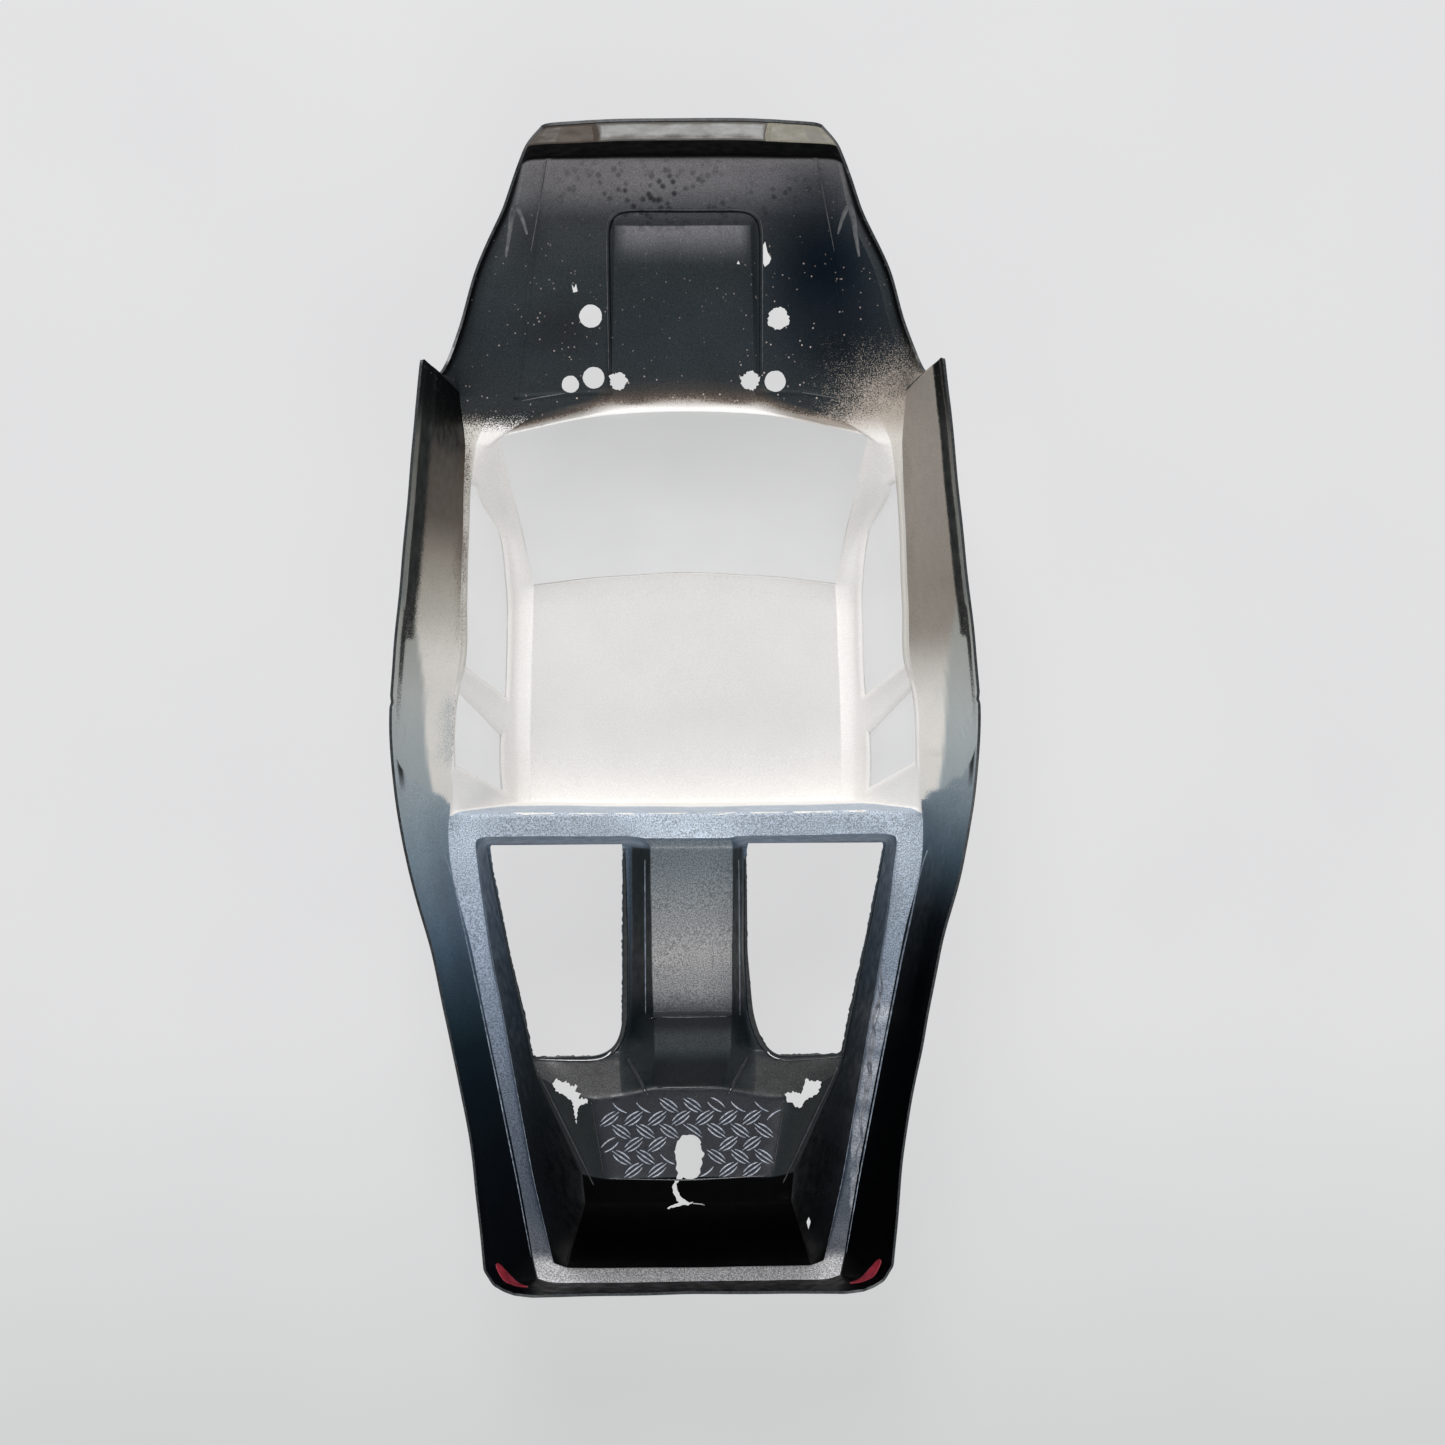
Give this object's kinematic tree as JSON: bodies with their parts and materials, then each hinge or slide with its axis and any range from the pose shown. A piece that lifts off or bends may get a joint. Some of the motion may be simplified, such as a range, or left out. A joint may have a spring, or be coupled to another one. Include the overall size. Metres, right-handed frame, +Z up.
{
  "type": "radio-controlled pickup body shell",
  "caption": "Thin vacuum-formed pickup body shell on its roof, open underneath, with clear windows, a scooped hood and an open load bed.",
  "frame": {"origin": "centre of the bounding box's bottom, on the surface that the roof lies on", "axes": "+Z up out of the open underside, +Y towards the nose, +X to the right seen from above; the shell lies on its roof as pictured"},
  "size_m": [0.2014, 0.416, 0.1051],
  "materials": {
    "black_paint": "black paint seen on the inside of clear sheet, faint metallic speckle, satin",
    "blue_grey_paint": "metallic blue-grey paint fading to black, satin",
    "white_paint": "white paint with brown-grey overspray near the doors",
    "clear_sheet": "clear sheet, slightly hazed",
    "red_sticker": "red printed vinyl",
    "silver_sticker": "grey-silver printed vinyl"
  },
  "bodies": {
    "root": {"bed_floor": "blue_grey_paint", "bed_front_rail": "blue_grey_paint", "bed_front_wall": "blue_grey_paint", "bed_rear_rail": "blue_grey_paint", "bed_spine": "blue_grey_paint", "cab_back_wall": "white_paint", "grille_sticker": "silver_sticker", "hood_panel": "black_paint", "left_bed_rail": "blue_grey_paint", "left_bed_step": "blue_grey_paint", "left_bed_wall": "blue_grey_paint", "left_door_panel": "white_paint", "left_door_window": "clear_sheet", "left_fender": "black_paint", "left_headlight_sticker": "silver_sticker", "left_quarter_panel": "blue_grey_paint", "left_quarter_window": "clear_sheet", "left_tail_light_sticker": "red_sticker", "left_window_frame": "white_paint", "nose_panel": "black_paint", "right_bed_rail": "blue_grey_paint", "right_bed_step": "blue_grey_paint", "right_bed_wall": "blue_grey_paint", "right_door_panel": "white_paint", "right_door_window": "clear_sheet", "right_fender": "black_paint", "right_headlight_sticker": "silver_sticker", "right_quarter_panel": "blue_grey_paint", "right_quarter_window": "clear_sheet", "right_tail_light_sticker": "red_sticker", "right_window_frame": "white_paint", "roof_panel": "white_paint", "tail_inner_slope": "black_paint", "tail_panel": "black_paint", "windscreen": "clear_sheet"}
  },
  "joints": []
}
